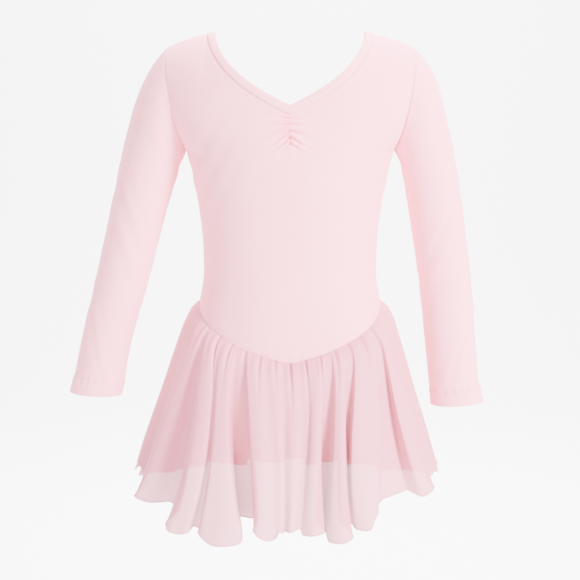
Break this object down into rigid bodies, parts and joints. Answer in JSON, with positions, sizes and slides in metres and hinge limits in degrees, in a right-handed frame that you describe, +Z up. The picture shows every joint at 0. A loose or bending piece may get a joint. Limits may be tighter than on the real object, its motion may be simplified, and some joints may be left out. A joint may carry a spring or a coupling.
{
  "type": "ballet dress",
  "caption": "Child's long-sleeved ballet dress in worn shape: stretch bodice with bound V neck and scooped back, curved dropped waist seam and a gathered sheer skirt.",
  "frame": {"origin": "midway between the shoulders, on the line of the shoulder seams, where the wearer holds the dress up", "axes": "front of the dress faces -Y, +Z up, +X to the wearer's left"},
  "size_m": [0.517, 0.329, 0.6003],
  "materials": {
    "jersey": "fine matt stretch jersey, pale pink",
    "binding": "folded band of the same jersey",
    "chiffon": "sheer plain-woven chiffon, soft sheen, pale pink"
  },
  "bodies": {
    "root": {"bodice_front": "jersey", "bodice_back": "jersey", "neck_binding_left": "binding", "neck_binding_right": "binding", "neck_binding_back": "binding", "sleeve_left": "jersey", "sleeve_right": "jersey", "skirt_front": "chiffon", "skirt_back": "chiffon"}
  },
  "joints": []
}
